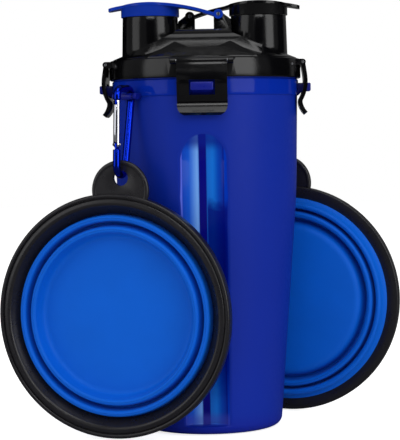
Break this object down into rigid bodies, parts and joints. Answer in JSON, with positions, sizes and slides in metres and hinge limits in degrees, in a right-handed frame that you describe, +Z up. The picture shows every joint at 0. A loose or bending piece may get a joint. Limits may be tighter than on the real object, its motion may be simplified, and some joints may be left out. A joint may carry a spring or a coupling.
{
  "type": "dog travel bottle with folding bowls",
  "caption": "Tapered travel bottle for water and food with a divided cup, latched lid, flip-cap spouts and folding bowls hung on carabiners.",
  "frame": {"origin": "centre of the round foot, on the surface that the bottle stands on", "axes": "+Z up along the cup's axis; the front, with a grip hollow and a latch, faces -Y; the water spout with the blue cap is at -X and the food spout with the black cap is at +X"},
  "size_m": [0.2202, 0.1378, 0.2331],
  "materials": {
    "frosted_blue": "translucent frosted blue, glossy in the grip hollows",
    "gloss_black": "glossy moulded black",
    "cap_blue": "glossy moulded blue",
    "seal_silicone": "soft translucent silicone",
    "pin_steel": "drawn steel wire",
    "blue_aluminium": "blue anodised",
    "polished_gate": "polished",
    "rim_black": "satin moulded black",
    "bowl_silicone": "soft matte blue thermoplastic rubber"
  },
  "bodies": {
    "root": {"bottle_body": "frosted_blue", "chamber_divider": "frosted_blue", "lid_shell": "gloss_black", "lid_gasket": "seal_silicone", "latch_pin_front": "pin_steel", "latch_pin_right": "pin_steel", "latch_pin_back": "pin_steel", "latch_pin_left": "pin_steel", "water_cap_pin": "pin_steel", "food_cap_pin": "pin_steel"},
    "latch_front": {"latch_front": "gloss_black"},
    "latch_right": {"latch_right": "gloss_black"},
    "latch_back": {"latch_back": "gloss_black"},
    "latch_left": {"latch_left": "gloss_black"},
    "water_cap": {"water_cap": "cap_blue", "water_cap_seal": "seal_silicone"},
    "food_cap": {"food_cap": "gloss_black", "food_cap_seal": "seal_silicone"},
    "carabiner_front": {"carabiner_front": "blue_aluminium"},
    "gate_front": {"gate_front": "polished_gate", "gate_rivet_front": "pin_steel", "gate_plunger_front": "pin_steel", "gate_spring_front": "pin_steel"},
    "bowl_rim_front": {"bowl_rim_front": "rim_black", "bowl_collar_front": "bowl_silicone", "bowl_upper_fold_front": "bowl_silicone"},
    "bowl_band_front": {"bowl_band_front": "bowl_silicone", "bowl_lower_fold_front": "bowl_silicone"},
    "bowl_base_front": {"bowl_base_front": "bowl_silicone"},
    "carabiner_back": {"carabiner_back": "blue_aluminium"},
    "gate_back": {"gate_back": "polished_gate", "gate_rivet_back": "pin_steel", "gate_plunger_back": "pin_steel", "gate_spring_back": "pin_steel"},
    "bowl_rim_back": {"bowl_rim_back": "rim_black", "bowl_collar_back": "bowl_silicone", "bowl_upper_fold_back": "bowl_silicone"},
    "bowl_band_back": {"bowl_band_back": "bowl_silicone", "bowl_lower_fold_back": "bowl_silicone"},
    "bowl_base_back": {"bowl_base_back": "bowl_silicone"}
  },
  "joints": [
    {"name": "latch_front_hinge", "type": "hinge", "parent": "root", "child": "latch_front", "pos_m": [0, -0.0536, 0.1994], "axis": [-1, 0, 0], "range_deg": [0, 100]},
    {"name": "latch_right_hinge", "type": "hinge", "parent": "root", "child": "latch_right", "pos_m": [0.0536, 0, 0.1994], "axis": [0, -1, 0], "range_deg": [0, 100]},
    {"name": "latch_back_hinge", "type": "hinge", "parent": "root", "child": "latch_back", "pos_m": [0, 0.0536, 0.1994], "axis": [1, 0, 0], "range_deg": [0, 100]},
    {"name": "latch_left_hinge", "type": "hinge", "parent": "root", "child": "latch_left", "pos_m": [-0.0536, 0, 0.1994], "axis": [0, 1, 0], "range_deg": [0, 100]},
    {"name": "water_cap_hinge", "type": "hinge", "parent": "root", "child": "water_cap", "pos_m": [0.0081, -0.0085, 0.2262], "axis": [0, 1, 0], "range_deg": [0, 110]},
    {"name": "food_cap_hinge", "type": "hinge", "parent": "root", "child": "food_cap", "pos_m": [-0.0081, 0.0085, 0.2262], "axis": [0, -1, 0], "range_deg": [0, 110]},
    {"name": "carabiner_front_swing", "type": "hinge", "parent": "root", "child": "carabiner_front", "pos_m": [-0.04137, -0.04065, 0.1816], "axis": [-0.9232, 0.3843, 0], "range_deg": [0, 22]},
    {"name": "gate_front_hinge", "type": "hinge", "parent": "carabiner_front", "child": "gate_front", "pos_m": [-0.04507, -0.05397, 0.15631], "axis": [-0.9232, 0.3843, 0], "range_deg": [0, 22], "stiffness_Nm_per_rad": 0.01, "springref_deg": -28.65},
    {"name": "bowl_front_swing", "type": "hinge", "parent": "carabiner_front", "child": "bowl_rim_front", "pos_m": [-0.04339, -0.04994, 0.13867], "axis": [-0.2823, -0.9593, 0], "range_deg": [-15, 25]},
    {"name": "bowl_front_band_slide", "type": "slide", "parent": "bowl_rim_front", "child": "bowl_band_front", "axis": [0.2823, 0.9593, 0], "range_m": [0, 0.015], "deforming": ["bowl_upper_fold_front"]},
    {"name": "bowl_front_base_slide", "type": "slide", "parent": "bowl_band_front", "child": "bowl_base_front", "axis": [0.2823, 0.9593, 0], "range_m": [0, 0.015], "deforming": ["bowl_lower_fold_front"]},
    {"name": "carabiner_back_swing", "type": "hinge", "parent": "root", "child": "carabiner_back", "pos_m": [0.04137, 0.04065, 0.1816], "axis": [0.9232, -0.3843, 0], "range_deg": [0, 22]},
    {"name": "gate_back_hinge", "type": "hinge", "parent": "carabiner_back", "child": "gate_back", "pos_m": [0.04507, 0.05397, 0.15631], "axis": [0.9232, -0.3843, 0], "range_deg": [0, 22], "stiffness_Nm_per_rad": 0.01, "springref_deg": -28.65},
    {"name": "bowl_back_swing", "type": "hinge", "parent": "carabiner_back", "child": "bowl_rim_back", "pos_m": [0.04339, 0.04994, 0.13867], "axis": [0.2823, 0.9593, 0], "range_deg": [-18, 22]},
    {"name": "bowl_back_band_slide", "type": "slide", "parent": "bowl_rim_back", "child": "bowl_band_back", "axis": [-0.2823, -0.9593, 0], "range_m": [0, 0.015], "deforming": ["bowl_upper_fold_back"]},
    {"name": "bowl_back_base_slide", "type": "slide", "parent": "bowl_band_back", "child": "bowl_base_back", "axis": [-0.2823, -0.9593, 0], "range_m": [0, 0.015], "deforming": ["bowl_lower_fold_back"]}
  ],
  "couplings": [
    {"joint": "bowl_front_band_slide", "follows": "bowl_front_base_slide", "ratio": 1},
    {"joint": "carabiner_front_swing", "follows": "bowl_front_base_slide", "rad_per_m": 25.596},
    {"joint": "bowl_back_band_slide", "follows": "bowl_back_base_slide", "ratio": 1},
    {"joint": "carabiner_back_swing", "follows": "bowl_back_base_slide", "rad_per_m": 25.596}
  ]
}
